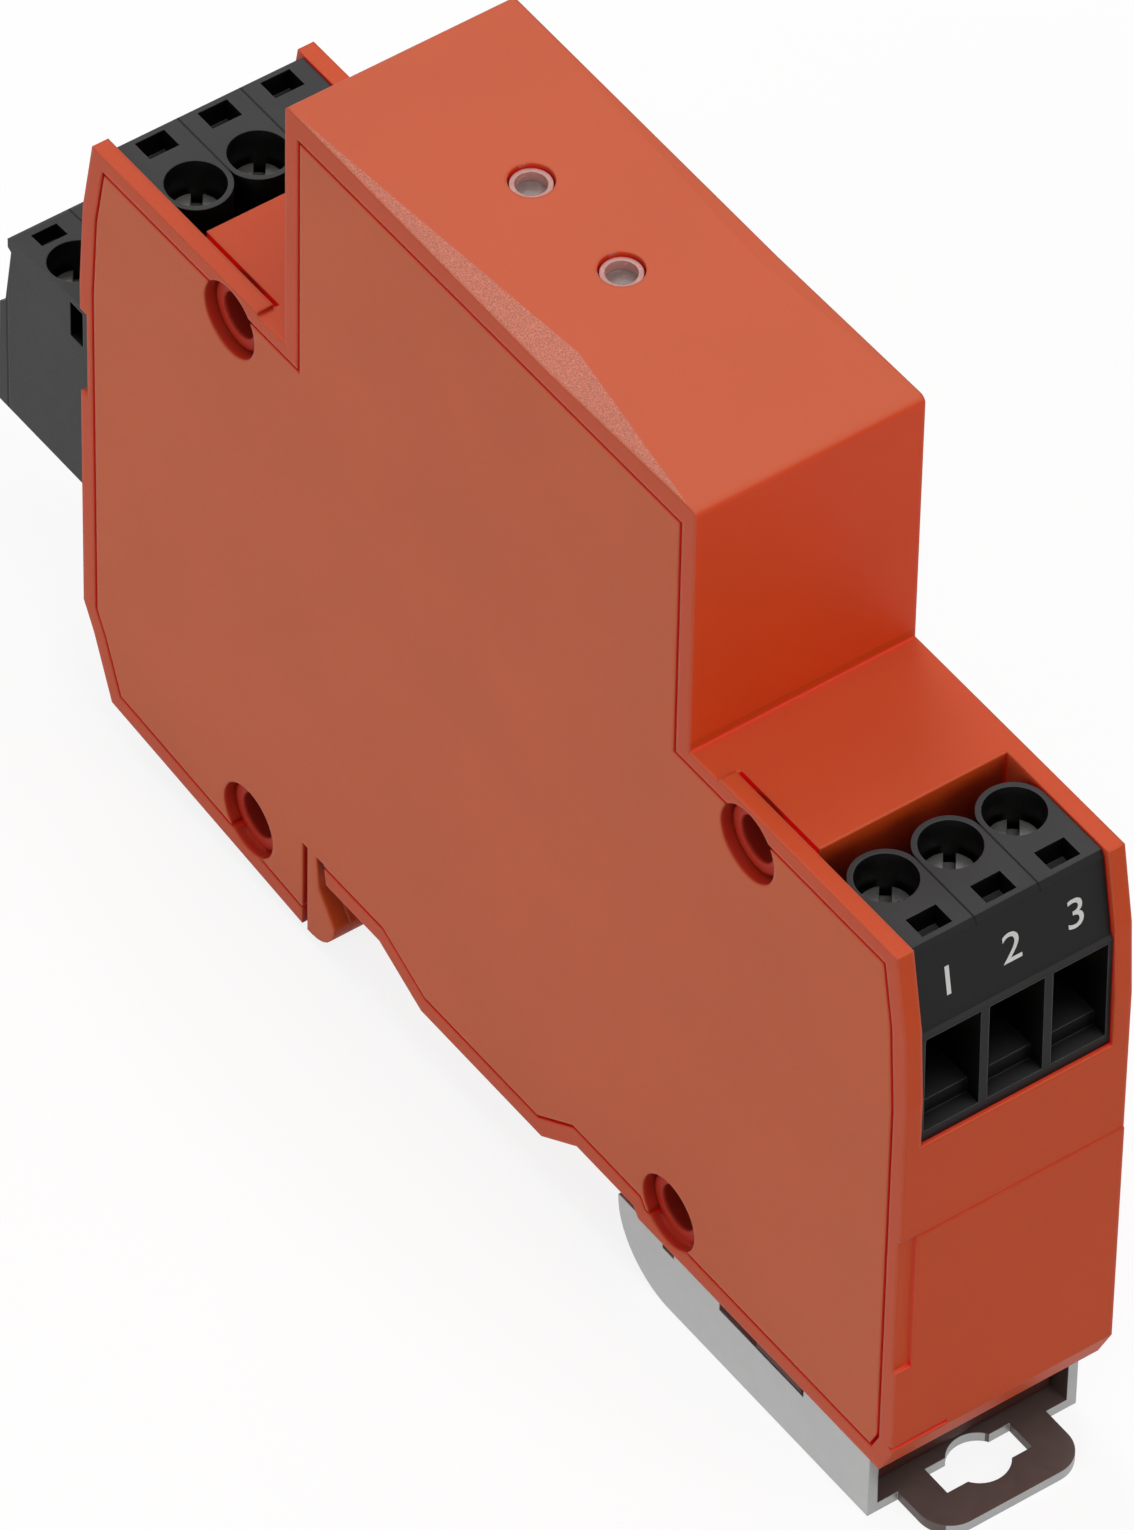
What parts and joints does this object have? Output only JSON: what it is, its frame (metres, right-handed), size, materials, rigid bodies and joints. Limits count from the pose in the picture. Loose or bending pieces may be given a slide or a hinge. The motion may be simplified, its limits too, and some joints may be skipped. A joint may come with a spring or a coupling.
{
  "type": "din rail surge arrester",
  "caption": "Slim rail-mounted surge arrester: orange T-shaped case with side cover, screw terminals at both shoulders, a pull-out signal plug, lamp windows and a sprung steel foot.",
  "frame": {"origin": "on the rail's centreline, in the plane of the rail's front face, mid-width of the module", "axes": "+X across the module along the rail, +Y towards the plug end, +Z out of the rail to the cap"},
  "size_m": [0.018, 0.1073, 0.0767],
  "materials": {
    "case": "fine matt moulded",
    "cover": "fine matt moulded",
    "block": "matt black moulded",
    "screw": "bright nickel plated",
    "clamp": "zinc plated",
    "contact": "plain stamped",
    "foot": "zinc plated sheet",
    "spring": "drawn wire",
    "board": "lacquered laminate",
    "varistor": "dipped coating",
    "gas_tube": "ceramic with metal caps",
    "fuse": "drawn case",
    "relay": "moulded",
    "lamp_green": "tinted resin",
    "lamp_red": "tinted resin",
    "lens": "clear moulded"
  },
  "bodies": {
    "case": {"housing_shell": "case", "side_cover": "cover", "front_terminal_block": "block", "front_contacts": "contact", "rear_terminal_block": "block", "rear_contacts": "contact", "signal_header": "block", "header_pins": "contact", "foot_spring": "spring", "circuit_board": "board", "varistor_1": "varistor", "varistor_2": "varistor", "gas_tube": "gas_tube", "thermal_fuse": "fuse", "signal_relay": "relay", "led_1": "lamp_green", "led_2": "lamp_red", "light_pipe_1": "lens", "light_pipe_2": "lens"},
    "foot": {"rail_foot": "foot"},
    "plug": {"plug_body": "block", "plug_contacts": "contact"},
    "front_screw_1": {"front_screw_1": "screw"},
    "front_clamp_1": {"front_clamp_1": "clamp"},
    "front_screw_2": {"front_screw_2": "screw"},
    "front_clamp_2": {"front_clamp_2": "clamp"},
    "front_screw_3": {"front_screw_3": "screw"},
    "front_clamp_3": {"front_clamp_3": "clamp"},
    "rear_screw_1": {"rear_screw_1": "screw"},
    "rear_clamp_1": {"rear_clamp_1": "clamp"},
    "rear_screw_2": {"rear_screw_2": "screw"},
    "rear_clamp_2": {"rear_clamp_2": "clamp"},
    "rear_screw_3": {"rear_screw_3": "screw"},
    "rear_clamp_3": {"rear_clamp_3": "clamp"},
    "plug_screw_1": {"plug_screw_1": "screw"},
    "plug_clamp_1": {"plug_clamp_1": "clamp"},
    "plug_screw_2": {"plug_screw_2": "screw"},
    "plug_clamp_2": {"plug_clamp_2": "clamp"},
    "plug_screw_3": {"plug_screw_3": "screw"},
    "plug_clamp_3": {"plug_clamp_3": "clamp"}
  },
  "joints": [
    {"name": "foot_slide", "type": "slide", "parent": "case", "child": "foot", "axis": [0, -1, 0], "range_m": [0, 0.004], "stiffness_N_per_m": 1200, "springref_m": -0.004, "deforming": ["foot_spring"]},
    {"name": "plug_pull", "type": "slide", "parent": "case", "child": "plug", "axis": [0, 1, 0], "range_m": [0, 0.0125]},
    {"name": "front_screw_1_turn", "type": "hinge", "parent": "case", "child": "front_screw_1", "pos_m": [-0.00508, -0.0384, 0.0425], "axis": [0, 0, -1], "range_deg": [0, 1600]},
    {"name": "front_clamp_1_lift", "type": "slide", "parent": "case", "child": "front_clamp_1", "axis": [0, 0, 1], "range_m": [0, 0.002]},
    {"name": "front_screw_2_turn", "type": "hinge", "parent": "case", "child": "front_screw_2", "pos_m": [0, -0.0384, 0.0425], "axis": [0, 0, -1], "range_deg": [0, 1600]},
    {"name": "front_clamp_2_lift", "type": "slide", "parent": "case", "child": "front_clamp_2", "axis": [0, 0, 1], "range_m": [0, 0.002]},
    {"name": "front_screw_3_turn", "type": "hinge", "parent": "case", "child": "front_screw_3", "pos_m": [0.00508, -0.0384, 0.0425], "axis": [0, 0, -1], "range_deg": [0, 1600]},
    {"name": "front_clamp_3_lift", "type": "slide", "parent": "case", "child": "front_clamp_3", "axis": [0, 0, 1], "range_m": [0, 0.002]},
    {"name": "rear_screw_1_turn", "type": "hinge", "parent": "case", "child": "rear_screw_1", "pos_m": [-0.00508, 0.0384, 0.0425], "axis": [0, 0, -1], "range_deg": [0, 1600]},
    {"name": "rear_clamp_1_lift", "type": "slide", "parent": "case", "child": "rear_clamp_1", "axis": [0, 0, 1], "range_m": [0, 0.002]},
    {"name": "rear_screw_2_turn", "type": "hinge", "parent": "case", "child": "rear_screw_2", "pos_m": [0, 0.0384, 0.0425], "axis": [0, 0, -1], "range_deg": [0, 1600]},
    {"name": "rear_clamp_2_lift", "type": "slide", "parent": "case", "child": "rear_clamp_2", "axis": [0, 0, 1], "range_m": [0, 0.002]},
    {"name": "rear_screw_3_turn", "type": "hinge", "parent": "case", "child": "rear_screw_3", "pos_m": [0.00508, 0.0384, 0.0425], "axis": [0, 0, -1], "range_deg": [0, 1600]},
    {"name": "rear_clamp_3_lift", "type": "slide", "parent": "case", "child": "rear_clamp_3", "axis": [0, 0, 1], "range_m": [0, 0.002]},
    {"name": "plug_screw_1_turn", "type": "hinge", "parent": "plug", "child": "plug_screw_1", "pos_m": [-0.00508, 0.0525, 0.0239], "axis": [0, 0, -1], "range_deg": [0, 1600]},
    {"name": "plug_clamp_1_lift", "type": "slide", "parent": "plug", "child": "plug_clamp_1", "axis": [0, 0, 1], "range_m": [0, 0.002]},
    {"name": "plug_screw_2_turn", "type": "hinge", "parent": "plug", "child": "plug_screw_2", "pos_m": [0, 0.0525, 0.0239], "axis": [0, 0, -1], "range_deg": [0, 1600]},
    {"name": "plug_clamp_2_lift", "type": "slide", "parent": "plug", "child": "plug_clamp_2", "axis": [0, 0, 1], "range_m": [0, 0.002]},
    {"name": "plug_screw_3_turn", "type": "hinge", "parent": "plug", "child": "plug_screw_3", "pos_m": [0.00508, 0.0525, 0.0239], "axis": [0, 0, -1], "range_deg": [0, 1600]},
    {"name": "plug_clamp_3_lift", "type": "slide", "parent": "plug", "child": "plug_clamp_3", "axis": [0, 0, 1], "range_m": [0, 0.002]}
  ],
  "couplings": [
    {"joint": "front_screw_1_turn", "follows": "front_clamp_1_lift", "rad_per_m": 13963},
    {"joint": "front_screw_2_turn", "follows": "front_clamp_2_lift", "rad_per_m": 13963},
    {"joint": "front_screw_3_turn", "follows": "front_clamp_3_lift", "rad_per_m": 13963},
    {"joint": "rear_screw_1_turn", "follows": "rear_clamp_1_lift", "rad_per_m": 13963},
    {"joint": "rear_screw_2_turn", "follows": "rear_clamp_2_lift", "rad_per_m": 13963},
    {"joint": "rear_screw_3_turn", "follows": "rear_clamp_3_lift", "rad_per_m": 13963},
    {"joint": "plug_screw_1_turn", "follows": "plug_clamp_1_lift", "rad_per_m": 13963},
    {"joint": "plug_screw_2_turn", "follows": "plug_clamp_2_lift", "rad_per_m": 13963},
    {"joint": "plug_screw_3_turn", "follows": "plug_clamp_3_lift", "rad_per_m": 13963}
  ]
}
